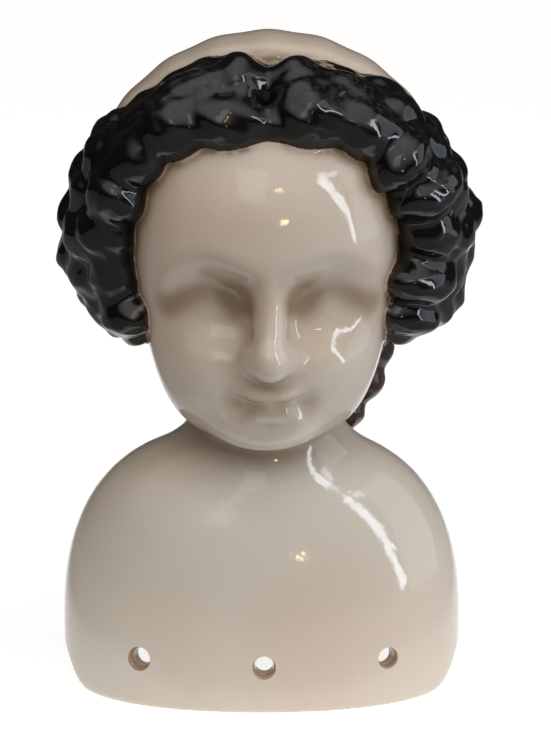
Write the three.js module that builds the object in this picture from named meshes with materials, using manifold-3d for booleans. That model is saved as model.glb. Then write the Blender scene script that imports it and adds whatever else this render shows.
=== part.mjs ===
import * as THREE from 'three';
import { mergeVertices } from 'three/addons/utils/BufferGeometryUtils.js';
import Module from 'manifold-3d';

const wasm = await Module();
wasm.setup();

// Shoulder head of a doll: face, roll of curls, cap, neck and shoulder plate in one hollow casting.
// Millimetres, +Z up, the face looks along -Y. The finished piece stands on z = 0.

const WALL = 3; // thickness of the casting
const THIN_WALL = 2.7; // least thickness behind its hollows
const EDGE = 1.3; // rounding of the lower edge
const FOOT = 1; // height of the lower edge while the forms are laid out
const HEAD_X = 1.4; // hair and cap stand this much to one side of the shoulders
const FACE_X = 1; // the face a little less
const FEATURE_X = 1.8; // eyes, nose and mouth

// Shoulder plate: half width, half depth at the base and how much less it is at the top,
// height of the dome above its straight skirt
const PLATE = { half: 39.1, deep: 26, lean: 6, dome: 40.7, skirt: 10, plan: 2.3, rise: 2.6 };
const NECK = { low: [0, 0.5, 42], high: [0, 3, 66], lowR: 14, highR: 14.1 };

// Head and features: centre and half sizes, x measured to either side of the nose
const SKULL = { at: [0, -1, 90], size: [33, 30, 30] };
const TEMPLE = 26.6; // from the middle of the face to either temple
const JAW = { at: [0, -8.5, 69.5], size: [19.2, 18.3, 18.6] };
const CHEEK = { at: [9.2, -15.2, 66.8], size: [9.8, 10.6, 12.8] };
const CHIN = { at: [0, -20.8, 56.2], size: [8.6, 6.3, 5] };
const EYE_FOLDS = [
  { a: [18.4, -26.4, 77.2], b: [11.8, -29.4, 79], aR: 2.3, bR: 3.6 },
  { a: [11.8, -29.4, 79], b: [6.2, -30.2, 77.4], aR: 3.6, bR: 3.7 },
];
const EYE_CORNER = { at: [6, -32.2, 77], size: [3.2, 6.4, 4.6] };
const NOSE = { high: [0, -25.6, 81], low: [0, -29.8, 71], highR: 2.8, lowR: 2.4 };
const NOSE_TIP = { at: [0, -30, 69], size: [2.9, 3.1, 3] };
const NOSTRIL = { at: [2.9, -26.9, 69.2], size: [1.8, 2.3, 1.9] };
const UPPER_LIP = { at: [0.8, -26.4, 63], size: [4.6, 2.4, 1.9] };
const LOWER_LIP = { at: [0, -26.4, 59.1], size: [4, 2.9, 2] };
const MOUTH = { mid: [0, -29.3, 60.8], end: [5.8, -27, 61.2], midR: 0.6, endR: 0.4 };
const MOUTH_CORNER = { at: [6.5, -27.9, 60.6], size: [1.4, 1.5, 1.5] };
const UNDER_LIP = { at: [0, -29.6, 57.1], size: [4.2, 2, 1.4] };

// Roll of hair: three locks to a side, each one curve from the parting to its lower end.
// crests are the lengths of its waves, phase shifts its unevenness.
const LOCKS = [
  {
    path: [[1.6, -22.6, 111.2], [20.5, -22.6, 116], [37.4, -16.5, 101], [24.8, -9.5, 72.2]],
    radii: [4.9, 6, 5.2],
    crests: [13, 10.5, 9, 10, 9.5, 9.5, 8.5],
    phase: 0.4,
  },
  {
    path: [[2, -16.5, 117.4], [20, -17, 118.4], [43.5, -9.5, 99], [28.6, -3, 72.8]],
    radii: [4.8, 5.6, 5.2],
    crests: [7, 13, 11, 9, 9, 9, 9, 7.5],
    phase: 2,
  },
  {
    path: [[1.5, -9.5, 117.4], [18.5, -9.5, 121.4], [46.3, -1.5, 99], [30.8, 4, 73.4]],
    radii: [3.8, 5.4, 5.2],
    crests: [16, 12, 9, 9, 9, 9, 8.5],
    phase: 3.9,
  },
];
const LOCK_CORE = 0.7; // radius of the even core of a lock against its crests
const SIDE_MASS = { at: [24, -2.5, 88], size: [12.5, 11, 19] };
const HAIR_FLOOR = 76; // the roll is hollow above this height only

// Hair at the nape: hanging locks round the back of the neck, each of a few crests
const NAPE = { x: 2.6, at: [0, 9, 64], size: [17.5, 14, 11.5], locks: 7, step: 25, axis: 8 };
const NAPE_CRESTS = [
  { z: 65, out: 19, size: [4.6, 4.6, 4.6] },
  { z: 58.4, out: 17, size: [4.6, 4.6, 4.3] },
  { z: 52.2, out: 13, size: [4.4, 4.4, 4] },
];

// Cap over crown and back, with soft gathers
const CAP = { at: [0, 3.5, 91], size: [35.8, 33.5, 35.6] };
const GATHERS = { count: 22, depth: 0.14 };
const HEM = { z: 71, y: 30, slope: 0.25 };
const CAP_FRONT = { y: -10.5, z: 127, slope: 0.25 };

// Sewing holes through the lower edge and the arches over the arms
const HOLE = { radius: 1.8, middle: 0.6, side: 23.6, z: 10.4, midZ: 10, turn: 23 };
const ARCH = { rise: 6, half: 11 };

// Grid of the mesh: columns go round the upright axis, rows run from the crown to the base
const AXIS_Y = 1;
const HEAD_COLUMNS = 80;
const HEAD_CENTRE = 84;
const PLATE_CENTRE = 22;
const CORE_COLUMNS = 28;

function smoothMin(a, b, k) {
  const h = Math.max(k - Math.abs(a - b), 0) / k;
  return Math.min(a, b) - h * h * k * 0.25;
}

function smoothMax(a, b, k) {
  return -smoothMin(-a, -b, k);
}

function ellipsoid(x, y, z, shape) {
  const [rx, ry, rz] = shape.size;
  const u = (x - shape.at[0]) / rx;
  const v = (y - shape.at[1]) / ry;
  const w = (z - shape.at[2]) / rz;
  const near = Math.hypot(u, v, w);
  const slope = Math.hypot(u / rx, v / ry, w / rz);
  return (near * (near - 1)) / Math.max(slope, 1e-9);
}

function capsule(x, y, z, a, b, ra, rb) {
  const d = [b[0] - a[0], b[1] - a[1], b[2] - a[2]];
  const long = d[0] * d[0] + d[1] * d[1] + d[2] * d[2];
  const along = ((x - a[0]) * d[0] + (y - a[1]) * d[1] + (z - a[2]) * d[2]) / long;
  const t = Math.min(Math.max(along, 0), 1);
  return Math.hypot(x - a[0] - t * d[0], y - a[1] - t * d[1], z - a[2] - t * d[2]) - (ra + (rb - ra) * t);
}

// Domed shoulder plate, a rounded oblong in plan
function plate(x, y, z) {
  const { half, lean, dome, skirt, plan, rise } = PLATE;
  const deep = PLATE.deep - (lean * Math.max(z, 0)) / (dome + skirt);
  const u = Math.abs(x / half);
  const v = Math.abs(y / deep);
  const w = Math.max(z - skirt, 0) / dome;
  const across = u ** plan + v ** plan + 1e-12;
  const total = across ** (rise / plan) + w ** rise;
  const scale = total ** (1 / rise - 1);
  const flat = scale * across ** (rise / plan - 1);
  const dx = (flat * u ** (plan - 1)) / half;
  const dy = (flat * v ** (plan - 1)) / deep;
  const dz = (scale * w ** (rise - 1)) / dome;
  return (total ** (1 / rise) - 1) / Math.max(Math.hypot(dx, dy, dz), 1e-4);
}

function neck(x, y, z) {
  return capsule(x, y, z, NECK.high, NECK.low, NECK.highR, NECK.lowR);
}

// Head without its features, on the neck
function bareHead(s, y, z) {
  let f = smoothMax(ellipsoid(s, y, z, SKULL), s - TEMPLE, 12);
  f = smoothMin(f, ellipsoid(s, y, z, JAW), 8);
  f = smoothMin(f, ellipsoid(s, y, z, CHEEK), 6);
  f = smoothMin(f, ellipsoid(s, y, z, CHIN), 5);
  return smoothMin(f, neck(s, y, z), 4);
}

function skin(x, y, z) {
  let f = smoothMin(bareHead(Math.abs(x - FACE_X), y, z), plate(x, y, z), 7);
  const s = Math.abs(x - FEATURE_X);
  for (const { a, b, aR, bR } of EYE_FOLDS) {
    f = smoothMax(f, -capsule(s, y, z, a, b, aR, bR), 7);
  }
  f = smoothMax(f, -ellipsoid(s, y, z, EYE_CORNER), 5);
  f = smoothMin(f, capsule(s, y, z, NOSE.high, NOSE.low, NOSE.highR, NOSE.lowR), 4);
  f = smoothMin(f, ellipsoid(s, y, z, NOSE_TIP), 3);
  f = smoothMin(f, ellipsoid(s, y, z, NOSTRIL), 3);
  f = smoothMin(f, ellipsoid(s, y, z, UPPER_LIP), 3);
  f = smoothMin(f, ellipsoid(s, y, z, LOWER_LIP), 4);
  f = smoothMax(f, -capsule(s, y, z, MOUTH.mid, MOUTH.end, MOUTH.midR, MOUTH.endR), 2);
  f = smoothMax(f, -ellipsoid(s, y, z, MOUTH_CORNER), 3);
  return smoothMax(f, -ellipsoid(s, y, z, UNDER_LIP), 4);
}

function onCurve(path, t) {
  const r = 1 - t;
  const weights = [r * r * r, 3 * r * r * t, 3 * r * t * t, t * t * t];
  return [0, 1, 2].map((i) => path.reduce((sum, point, k) => sum + weights[k] * point[i], 0));
}

function lockRadius(lock, t) {
  const r = 1 - t;
  return lock.radii[0] * r * r + 2 * lock.radii[1] * t * r + lock.radii[2] * t * t;
}

// The even cores of the locks, as short rods along each curve
function lockCores() {
  const parts = 11;
  const rods = [];
  for (const lock of LOCKS) {
    for (let i = 0; i < parts; i += 1) {
      const radius = lockRadius(lock, i / parts) * LOCK_CORE;
      rods.push({ a: onCurve(lock.path, i / parts), b: onCurve(lock.path, (i + 1) / parts), radius });
    }
  }
  return rods;
}

// Wave crests: one oval swelling for each length in a lock's crests, on both sides of the head
function lockCrests() {
  const fine = 200;
  const crests = [];
  for (const side of [-1, 1]) {
    for (const lock of LOCKS) {
      const points = Array.from({ length: fine }, (_, i) => onCurve(lock.path, i / (fine - 1)));
      const run = [0];
      for (let i = 1; i < fine; i += 1) {
        const step = new THREE.Vector3(...points[i]).distanceTo(new THREE.Vector3(...points[i - 1]));
        run.push(run[i - 1] + step);
      }
      const whole = lock.crests.reduce((a, b) => a + b, 0);
      let done = 0;
      lock.crests.forEach((length, i) => {
        const target = ((done + length / 2) / whole) * run[fine - 1];
        done += length;
        const next = run.findIndex((value) => value >= target);
        const share = (target - run[next - 1]) / (run[next] - run[next - 1]);
        const t = (next - 1 + share) / (fine - 1);
        const at = new THREE.Vector3(...onCurve(lock.path, t));
        const along = new THREE.Vector3(...onCurve(lock.path, Math.min(t + 0.01, 1)));
        along.sub(new THREE.Vector3(...onCurve(lock.path, Math.max(t - 0.01, 0)))).normalize();
        const out = at.clone().sub(new THREE.Vector3(0, 2, 90));
        out.addScaledVector(along, -out.dot(along)).normalize();
        const across = new THREE.Vector3().crossVectors(out, along);
        const thinner = side < 0 && t > 0.25 && t < 0.55 ? 0.12 : 0;
        const higher = side < 0 && t > 0.2 && t < 0.5 ? 1.2 : 0;
        const forward = side > 0 && lock === LOCKS[0] && t > 0.3;
        const fuller = forward ? (t < 0.5 ? 0.8 : 1.4) : 0;
        const swell = 1 - thinner + 0.13 * Math.sin(2.4 * i + lock.phase + 1.1 * side);
        const radius = lockRadius(lock, t) * swell + fuller;
        at.addScaledVector(across, 1.5 * Math.sin(1.9 * i + lock.phase + 0.7 * side) - higher);
        const size = [(length / whole) * run[fine - 1] * 0.56, radius * 1.12, radius];
        const axes = [along, across, out].map((v) => [v.x * side, v.y, v.z]);
        const blend = lock === LOCKS[0] ? 1.7 : 1.7 + 3 * Math.max(0, 1 - t / 0.35);
        crests.push({ at: [at.x * side, at.y, at.z], size, axes, blend });
      });
    }
  }
  return crests;
}

function napeCrests() {
  const crests = [];
  for (let k = 0; k < NAPE.locks; k += 1) {
    const turn = THREE.MathUtils.degToRad((k - (NAPE.locks - 1) / 2) * NAPE.step);
    const lift = k % 2 === 0 ? -1.2 : 1.2;
    for (const { z, out, size } of NAPE_CRESTS) {
      const at = [Math.sin(turn) * out * 0.98, NAPE.axis + Math.cos(turn) * out * 0.86, z + lift];
      crests.push({ at, size });
    }
  }
  return crests;
}

const CORES = lockCores();
const CRESTS = lockCrests();
const NAPE_LOCKS = napeCrests();

// Hair as plain swellings, without its crests
function hairMass(s, y, z) {
  let f = 30;
  for (const rod of CORES) {
    f = smoothMin(f, capsule(s, y, z, rod.a, rod.b, rod.radius, rod.radius), 2.5);
  }
  return smoothMin(f, ellipsoid(s, y, z, SIDE_MASS), 3);
}

// Small slow swellings that keep the locks from looking turned
function unevenness(h, y, z) {
  const wide = Math.sin(0.8 * h + 1.4 * Math.sin(0.5 * z));
  return 0.3 * wide * Math.sin(0.85 * z + 1.2 * Math.sin(0.6 * y)) * Math.cos(0.7 * y);
}

function hair(x, y, z) {
  const h = x - HEAD_X;
  let f = hairMass(Math.abs(h), y, z);
  for (const { at, size, axes, blend } of CRESTS) {
    const d = [h - at[0], y - at[1], z - at[2]];
    const local = axes.map((a) => a[0] * d[0] + a[1] * d[1] + a[2] * d[2]);
    f = smoothMin(f, ellipsoid(...local, { at: [0, 0, 0], size }), blend);
  }
  const n = h - NAPE.x;
  f = smoothMin(f, ellipsoid(n, y, z, NAPE), 2);
  for (const crest of NAPE_LOCKS) {
    f = smoothMin(f, ellipsoid(n, y, z, crest), 2.2);
  }
  return f + unevenness(h, y, z);
}

function cap(x, y, z, gathers) {
  const h = x - HEAD_X;
  const round = Math.atan2(h, z - CAP.at[2] + 1e-9);
  const fade = Math.min(Math.max((Math.hypot(h, z - CAP.at[2]) - 8) / 18, 0), 1);
  let f = ellipsoid(h, y, z, CAP) - gathers * Math.cos(round * GATHERS.count) * fade;
  f = smoothMax(f, HEM.z - z - HEM.slope * (y - HEM.y), 2);
  return smoothMax(f, CAP_FRONT.y + (CAP_FRONT.z - z) * CAP_FRONT.slope - y, 4);
}

// Below 0 inside the piece taken as solid
function outside(x, y, z) {
  const white = Math.min(skin(x, y, z), cap(x, y, z, GATHERS.depth));
  return smoothMin(white, hair(x, y, z), 0.35);
}

// Below 0 inside the hollow, which follows the outside softly at one wall's distance
// and nowhere comes nearer to it than the thinnest wall
function hollow(x, y, z) {
  let f = smoothMin(bareHead(Math.abs(x - FACE_X), y, z), cap(x, y, z, 0), 4);
  f = smoothMin(f, smoothMax(hairMass(Math.abs(x - HEAD_X), y, z), HAIR_FLOOR - z, 5), 4);
  f = smoothMin(f, ellipsoid(x - HEAD_X - NAPE.x, y, z, NAPE), 4);
  f = smoothMin(f, plate(x, y, z), 7) + WALL;
  return smoothMax(f, outside(x, y, z) + THIN_WALL, 2);
}

// Rays: origin height, elevation in degrees and inset, from the crown down to the base
function fan(centre, from, to, steps) {
  return Array.from({ length: steps }, (_, i) => {
    return { z: centre, rise: from + ((to - from) * i) / (steps - 1), inset: 0 };
  });
}

function headRays() {
  const rays = [...fan(HEAD_CENTRE, 84.5, -5, 21), ...fan(HEAD_CENTRE, -8, -50, 17)];
  for (const z of [80, 77, 74]) {
    rays.push({ z, rise: -50, inset: 0 });
  }
  return rays;
}

function plateRays() {
  const rays = fan(PLATE_CENTRE, 54, 6, 8);
  for (const z of [16, 7]) {
    rays.push({ z, rise: 0, inset: 0 });
  }
  for (const z of [EDGE, EDGE * 0.35, 0]) {
    rays.push({ z: FOOT + z, rise: 0, inset: EDGE - Math.sqrt(EDGE * EDGE - (EDGE - z) ** 2) });
  }
  return rays;
}

function coreRays() {
  const rays = fan(HEAD_CENTRE, 78, -50, 12);
  rays.push({ z: 75, rise: -50, inset: 0 }, { z: 66, rise: -50, inset: 0 });
  rays.push(...fan(PLATE_CENTRE, 62, 8, 6));
  rays.push({ z: 14, rise: 0, inset: 0 }, { z: 0, rise: 0, inset: 0 }, { z: -3, rise: 0, inset: 0 });
  return rays;
}

// Point where a ray leaves the form; outer rays are searched from far away inwards
function leave(form, ray, turn, outermost) {
  const rise = THREE.MathUtils.degToRad(ray.rise);
  const dir = [Math.sin(turn) * Math.cos(rise), -Math.cos(turn) * Math.cos(rise), Math.sin(rise)];
  const point = (t) => [dir[0] * t, AXIS_Y + dir[1] * t, ray.z + dir[2] * t];
  const value = (t) => form(...point(t)) + ray.inset;
  let inside = 0;
  let beyond = 0;
  if (outermost) {
    inside = 46;
    while (value(inside) > 0) {
      beyond = inside;
      inside -= Math.max(0.5 * value(inside), 0.1);
    }
  } else {
    while (value(beyond) < 0) {
      inside = beyond;
      beyond += Math.max(-0.5 * value(beyond), 0.1);
    }
  }
  for (let i = 0; i < 24; i += 1) {
    const middle = (inside + beyond) / 2;
    if (value(middle) > 0) {
      beyond = middle;
    } else {
      inside = middle;
    }
  }
  return point(inside);
}

// Columns stand closer together at the face than at the back
function turnOf(i, columns) {
  const even = (i / columns) * Math.PI * 2;
  return even - 0.45 * Math.sin(even);
}

// Closed skin over rings of points; a ring may have half as many points as the one above it
function closedSkin(rings, top, bottom) {
  const points = [top];
  const starts = rings.map((ring) => {
    points.push(...ring);
    return points.length - ring.length;
  });
  points.push(bottom);
  const faces = [];
  rings.forEach((ring, row) => {
    const here = (i) => starts[row] + (i % ring.length);
    for (let i = 0; i < ring.length && row === 0; i += 1) {
      faces.push([0, here(i), here(i + 1)]);
    }
    if (row === rings.length - 1) {
      for (let i = 0; i < ring.length; i += 1) {
        faces.push([points.length - 1, here(i + 1), here(i)]);
      }
      return;
    }
    const count = rings[row + 1].length;
    const below = (i) => starts[row + 1] + (i % count);
    for (let i = 0; i < count; i += 1) {
      if (count === ring.length) {
        faces.push([here(i), below(i), below(i + 1)], [here(i), below(i + 1), here(i + 1)]);
      } else {
        faces.push([here(2 * i), below(i), here(2 * i + 1)]);
        faces.push([here(2 * i + 1), below(i), below(i + 1)]);
        faces.push([here(2 * i + 1), below(i + 1), here(2 * i + 2)]);
      }
    }
  });
  return solid(points.flat(), faces.flat());
}

function solid(positions, indices) {
  const vertProperties = new Float32Array(positions);
  const triVerts = new Uint32Array(indices);
  return new wasm.Manifold(new wasm.Mesh({ numProp: 3, vertProperties, triVerts }));
}

function solidOf(geometry) {
  const bare = geometry.clone();
  bare.deleteAttribute('normal');
  bare.deleteAttribute('uv');
  const merged = mergeVertices(bare, 1e-4);
  return solid(merged.attributes.position.array, merged.index.array);
}

function ringsOf(form, rays, columns, outermost) {
  return rays.map((ray) => {
    return Array.from({ length: columns }, (_, i) => leave(form, ray, turnOf(i, columns), outermost));
  });
}

function makeBody() {
  const rings = ringsOf(outside, headRays().slice(0, 38), HEAD_COLUMNS, true);
  rings.push(...ringsOf(outside, headRays().slice(38), HEAD_COLUMNS, false));
  rings.push(...ringsOf(skin, plateRays(), HEAD_COLUMNS / 2, false));
  const crown = leave(outside, { z: HEAD_CENTRE, rise: 90, inset: 0 }, 0, true);
  return closedSkin(rings, crown, [0, AXIS_Y, FOOT]);
}

function makeCore() {
  const rings = ringsOf(hollow, coreRays(), CORE_COLUMNS, false);
  const roof = leave(hollow, { z: HEAD_CENTRE, rise: 90, inset: 0 }, 0, false);
  return closedSkin(rings, roof, [0, AXIS_Y, coreRays().at(-1).z]);
}

// Long bar under the arms; its top is a flat-shouldered curve
function makeArches() {
  const shape = new THREE.Shape();
  const steps = 20;
  const reach = ARCH.half * 1.6;
  shape.moveTo(-reach, -3);
  for (let i = 0; i <= steps; i += 1) {
    const y = reach * ((2 * i) / steps - 1);
    shape.lineTo(y, ARCH.rise * Math.exp(-((y / ARCH.half) ** 4)) - 0.05);
  }
  shape.lineTo(reach, -3);
  const bar = new THREE.ExtrudeGeometry(shape, { depth: 120, bevelEnabled: false, steps: 1 });
  bar.translate(0, 0, -60);
  bar.rotateX(Math.PI / 2);
  bar.rotateZ(Math.PI / 2);
  bar.translate(0, 0, FOOT);
  return solidOf(bar);
}

// Sewing holes square to the wall, three in front and three behind
function makeHoles() {
  const holes = [];
  for (const back of [0, Math.PI]) {
    for (const side of [-1, 0, 1]) {
      const pin = new THREE.CylinderGeometry(HOLE.radius, HOLE.radius, 16, 16);
      pin.translate(0, PLATE.deep - 2, 0);
      if (side !== 0) {
        pin.translate(0, -2.2, 0);
      }
      const turn = THREE.MathUtils.degToRad(HOLE.turn);
      pin.rotateZ(Math.PI + side * turn);
      const reach = side * (HOLE.side - (PLATE.deep - 4.2) * Math.sin(turn));
      pin.translate(reach, 0, side === 0 ? HOLE.midZ : HOLE.z);
      pin.rotateZ(back);
      pin.translate(HOLE.middle, 0, 0);
      holes.push(solidOf(pin));
    }
  }
  return holes;
}

function makeShoulderHead() {
  let whole = makeBody().subtract(makeCore()).subtract(makeArches());
  for (const hole of makeHoles()) {
    whole = whole.subtract(hole);
  }
  const mesh = whole.getMesh();
  const geometry = new THREE.BufferGeometry();
  geometry.setAttribute('position', new THREE.BufferAttribute(mesh.vertProperties, 3));
  geometry.setIndex(new THREE.BufferAttribute(mesh.triVerts, 1));
  geometry.computeBoundingBox();
  const middle = geometry.boundingBox.getCenter(new THREE.Vector3());
  geometry.translate(-middle.x, -middle.y, -FOOT);
  geometry.computeVertexNormals();
  const glaze = new THREE.MeshStandardMaterial({ color: 0xd8cdbf, roughness: 0.2, metalness: 0 });
  const piece = new THREE.Mesh(geometry, glaze);
  piece.name = 'shoulder_head';
  return piece;
}

const doll = new THREE.Group();
doll.name = 'shoulder_head_doll_part';
doll.add(makeShoulderHead());

export default doll;
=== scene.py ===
import math

import bpy
import numpy as np
from bpy.props import FloatProperty, FloatVectorProperty, IntProperty, PointerProperty
from mathutils import Matrix, Vector


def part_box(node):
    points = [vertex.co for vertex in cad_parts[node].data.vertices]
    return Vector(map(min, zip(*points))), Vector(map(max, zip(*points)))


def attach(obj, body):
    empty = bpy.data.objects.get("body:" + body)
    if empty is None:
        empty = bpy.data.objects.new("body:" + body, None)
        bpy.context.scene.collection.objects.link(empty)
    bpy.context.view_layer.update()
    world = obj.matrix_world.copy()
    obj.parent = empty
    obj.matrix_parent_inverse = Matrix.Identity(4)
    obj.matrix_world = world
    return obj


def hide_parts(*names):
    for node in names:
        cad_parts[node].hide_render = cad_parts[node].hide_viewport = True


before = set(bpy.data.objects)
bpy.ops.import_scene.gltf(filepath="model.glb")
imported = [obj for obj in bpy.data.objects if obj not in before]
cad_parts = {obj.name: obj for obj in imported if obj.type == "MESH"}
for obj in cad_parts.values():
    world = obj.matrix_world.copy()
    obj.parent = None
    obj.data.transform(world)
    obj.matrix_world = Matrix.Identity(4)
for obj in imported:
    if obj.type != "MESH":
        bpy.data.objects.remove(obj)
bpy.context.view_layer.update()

bl_info = {
    "name": "Porcelain shoulder head",
    "version": (1, 0, 0),
    "blender": (4, 5, 0),
    "location": "View3D > Sidebar > Shoulder head",
    "description": "Casts a glazed doll's shoulder head with its roll of curls, and sets it on a pale stage",
    "category": "Add Mesh",
}

# Sizes in millimetres in the casting's own frame, in which the face looks along -Y and the lower
# edge is at z = FOOT

HEAD_X = 1.4  # hair and cap stand this much to one side of the shoulders
FACE_X = 1.0  # the face a little less
FEATURE_X = 1.8  # eyes, nose and mouth
PLATE = dict(half=39.1, deep=26.0, lean=6.0, dome=40.7, skirt=10.0, plan=2.3, rise=2.6)
NECK = dict(high=(0, 3, 66), low=(0, 0.5, 42), high_r=14.1, low_r=14.0)

# Head and features, x measured to either side of the nose: an oval is its centre and half sizes,
# and a rod its two ends and their radii
SKULL = ((0, -1, 90), (33, 30, 30))
TEMPLE = 26.6  # from the middle of the face to either temple
JAW = ((0, -8.5, 69.5), (19.2, 18.3, 18.6))
CHEEK = ((9.2, -15.2, 66.8), (9.8, 10.6, 12.8))
CHIN = ((0, -20.8, 56.2), (8.6, 6.3, 5.0))
EYE_FOLDS = (
    ((18.4, -26.4, 77.2), (11.8, -29.4, 79.0), 1.9, 3.2),
    ((11.8, -29.4, 79.0), (6.2, -30.2, 77.4), 3.2, 3.3),
)
EYE_CORNER = ((6.0, -32.2, 77.0), (3.2, 6.4, 4.6))
NOSE = ((0, -25.6, 81), (0, -29.8, 71), 2.8, 2.4)
NOSE_TIP = ((0, -30.0, 69.0), (2.9, 3.1, 3.0))
NOSTRIL = ((2.9, -26.9, 69.2), (1.8, 2.3, 1.9))
UPPER_LIP = ((0.8, -26.4, 63.0), (4.6, 2.4, 1.9))
LOWER_LIP = ((0, -26.4, 59.1), (4.0, 2.9, 2.0))
MOUTH = ((0, -29.3, 60.8), (5.8, -27.0, 61.2), 0.6, 0.4)
MOUTH_CORNER = ((6.5, -27.9, 60.6), (1.4, 1.5, 1.5))
UNDER_LIP = ((0, -29.6, 57.1), (4.2, 2.0, 1.4))

# Roll of hair, three locks to a side: a curve from the parting to the lower end, its thickness,
# the lengths of its waves and a shift of its unevenness
LOCKS = (
    dict(
        path=((1.6, -22.6, 111.2), (20.5, -22.6, 116.0), (37.4, -16.5, 101.0), (24.8, -9.5, 72.2)),
        radii=(4.9, 6, 5.2), crests=(13, 10.5, 9, 10, 9.5, 9.5, 8.5), phase=0.4,
    ),
    dict(
        path=((2, -16.5, 117.4), (20, -17, 118.4), (43.5, -9.5, 99), (28.6, -3, 72.8)),
        radii=(4.8, 5.6, 5.2), crests=(7, 13, 11, 9, 9, 9, 9, 7.5), phase=2.0,
    ),
    dict(
        path=((1.5, -9.5, 117.4), (18.5, -9.5, 121.4), (46.3, -1.5, 99), (30.8, 4, 73.4)),
        radii=(3.8, 5.4, 5.2), crests=(16, 12, 9, 9, 9, 9, 8.5), phase=3.9,
    ),
)
LOCK_CORE = 0.7  # radius of a lock's even core against its waves
LOCK_UNEVEN = 0.13  # share by which waves are fuller or slimmer than their lock
LOCK_SWAY = 1.5  # how far waves stand to either side of it
ROLL_CENTRE = (0, 2.0, 90.0)  # the waves stand out from here
WAVE_LENGTH = 0.56  # half the length of a wave against its share of the lock
WAVE_WIDTH = 1.12  # half its width against its height
HAIR_RIPPLE = 0.3
SIDE_MASS = ((24, -2.5, 88), (12.5, 11, 19))
HAIR_FLOOR = 76  # the hollow behind the roll ends here
HAIR_SEAM = 0.35  # how softly hair joins what is white

NAPE_X = 2.6
NAPE_MASS = ((0, 9, 64), (17.5, 14, 11.5))
NAPE_RING = dict(y=8, wide=0.98, deep=0.86, lift=1.2)
NAPE_TURNS = tuple(math.radians(25 * k) for k in range(-3, 4))
NAPE_CRESTS = ((65, 19, (4.6, 4.6, 4.6)), (58.4, 17, (4.6, 4.6, 4.3)), (52.2, 13, (4.4, 4.4, 4)))

CAP = ((0, 3.5, 91), (35.8, 33.5, 35.6))
HEM = dict(z=71, y=30, slope=0.25)
CAP_FRONT = dict(y=-10.5, z=127, slope=0.25)

FOOT = 1.0  # height of the lower edge
HOLLOW_END = -3.0  # the hollow runs on below it
ARCH_RISE = 6.0  # the edge is arched over the arms
ARCH_HALF = 11.0
HOLES = dict(middle=0.6, side=23.6, high=10.4, middle_high=10.0, turn=23)  # turn in degrees
PIN = dict(half=0.006, flare=(-0.0011, 0.0006), rings=49, sides=36)  # lengths in metres

# Where glaze gathers and where shade is painted: along a line over each eye, along the mouth, and in pools.
# A pool is its centre, how much distance along x, y and z counts, its reach and its depth of tone from 0 to
# 1.
# The line over each eye lies where shade falls under the brow, and the jaw's pool is painted shade alone.
FOLD_TONE, FOLD_REACH = 0.68, 3.6
MOUTH_TONE, MOUTH_REACH = 0.5, 1.5
FOLD_LINE = ((18.6, -21.5, 78.4), (11.6, -26.2, 81.8), (6.0, -26.5, 79.6))
# painted shade, with glaze that gathers there too: inner eye corners, mouth corners, under the nose and
# under the lower lip
EYE_SHADE_POOL = ((6.0, -26.5, 79.6), (1, 0.6, 0.8), 3.6, 0.6)
MOUTH_SHADE_POOL = ((6.6, -25.2, 60.6), (1, 1, 1), 2.2, 0.3)
NOSE_SHADE_POOL = ((0, -27.5, 65.6), (0.35, 0.5, 1), 1.6, 0.35)
LIP_SHADE_POOL = ((0, -26.6, 57.2), (0.35, 0.5, 1), 1.5, 0.4)
# painted shade alone under the jaw, darker as shade from above would make it
JAW_SHADE = ((14, -19, 54.5), (1, 0.7, 0.9), 8, 0.45)
SHADE_POOLS = (EYE_SHADE_POOL, MOUTH_SHADE_POOL, NOSE_SHADE_POOL, LIP_SHADE_POOL)
# the face's pools, the reaches below and the inside tone all feed painted shade: the more closed in a point
# is, the browner its glaze is made
FACE_FRONT = -12  # the pools of the face lie in front of this y
SHELTER_REACHES = (1.2, 3.0, 9.0)  # how far out from the surface shelter is felt for
INSIDE_DEPTH, INSIDE_SHELTER = 1.2, 0.25  # points this deep are inside, and their shelter

ROOM_LOW = (-46, -42, -3)
ROOM_HIGH = (48, 46, 131)
HOLLOW_LOW = (-46, -42, -7)

# Stage, in metres. The floor glows in a wedge fixed on it that covers what the main view shows.
# half is half the wedge's width at y = 0. It starts at y = front and is full from y = full on.
LIT_FLOOR = dict(half=0.058, widening=0.14, soft=0.05, front=-0.07, full=-0.040)
FLOOR_HALF = 8
SKY_FROM = (-0.06, -0.42, 0.905)
LIGHTS_AIM = (0, 0, 0.08)
CAMERA_AIM = (0.0013, -0.0014, 0.0611)
COOL = (0.82, 0.91, 1.0)
WARM = (1.0, 0.70, 0.38)


# Forms, below 0 inside. Points are rows of x, y, z.

def smooth_min(a, b, k):
    """Both forms together, joined softly over k millimetres."""
    h = np.maximum(k - np.abs(a - b), 0.0) / k
    return np.minimum(a, b) - h * h * k * 0.25


def smooth_max(a, b, k):
    """What is in both forms, with the edge softened over k millimetres."""
    return -smooth_min(-a, -b, k)


def round_max(a, b, r):
    """Where two faces meet, an edge rounded to radius r."""
    return np.minimum(-r, np.maximum(a, b)) + np.hypot(np.maximum(a + r, 0), np.maximum(b + r, 0))


def oval(p, form, axes=None):
    """An oval from its centre and half sizes, turned to its own axes if given."""
    q = p - np.asarray(form[0], float)
    if axes is not None:
        q = q @ axes.T
    r = np.asarray(form[1], float)
    near = np.linalg.norm(q / r, axis=1)
    slope = np.linalg.norm(q / (r * r), axis=1)
    return near * (near - 1.0) / np.maximum(slope, 1e-9)


def rod(p, a, b, ra, rb):
    """A round rod from a to b whose radius goes from ra to rb."""
    a, b = np.asarray(a, float), np.asarray(b, float)
    d = b - a
    t = np.clip(((p - a) @ d) / (d @ d), 0, 1)
    return np.linalg.norm(p - a - t[:, None] * d, axis=1) - (ra + (rb - ra) * t)


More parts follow.
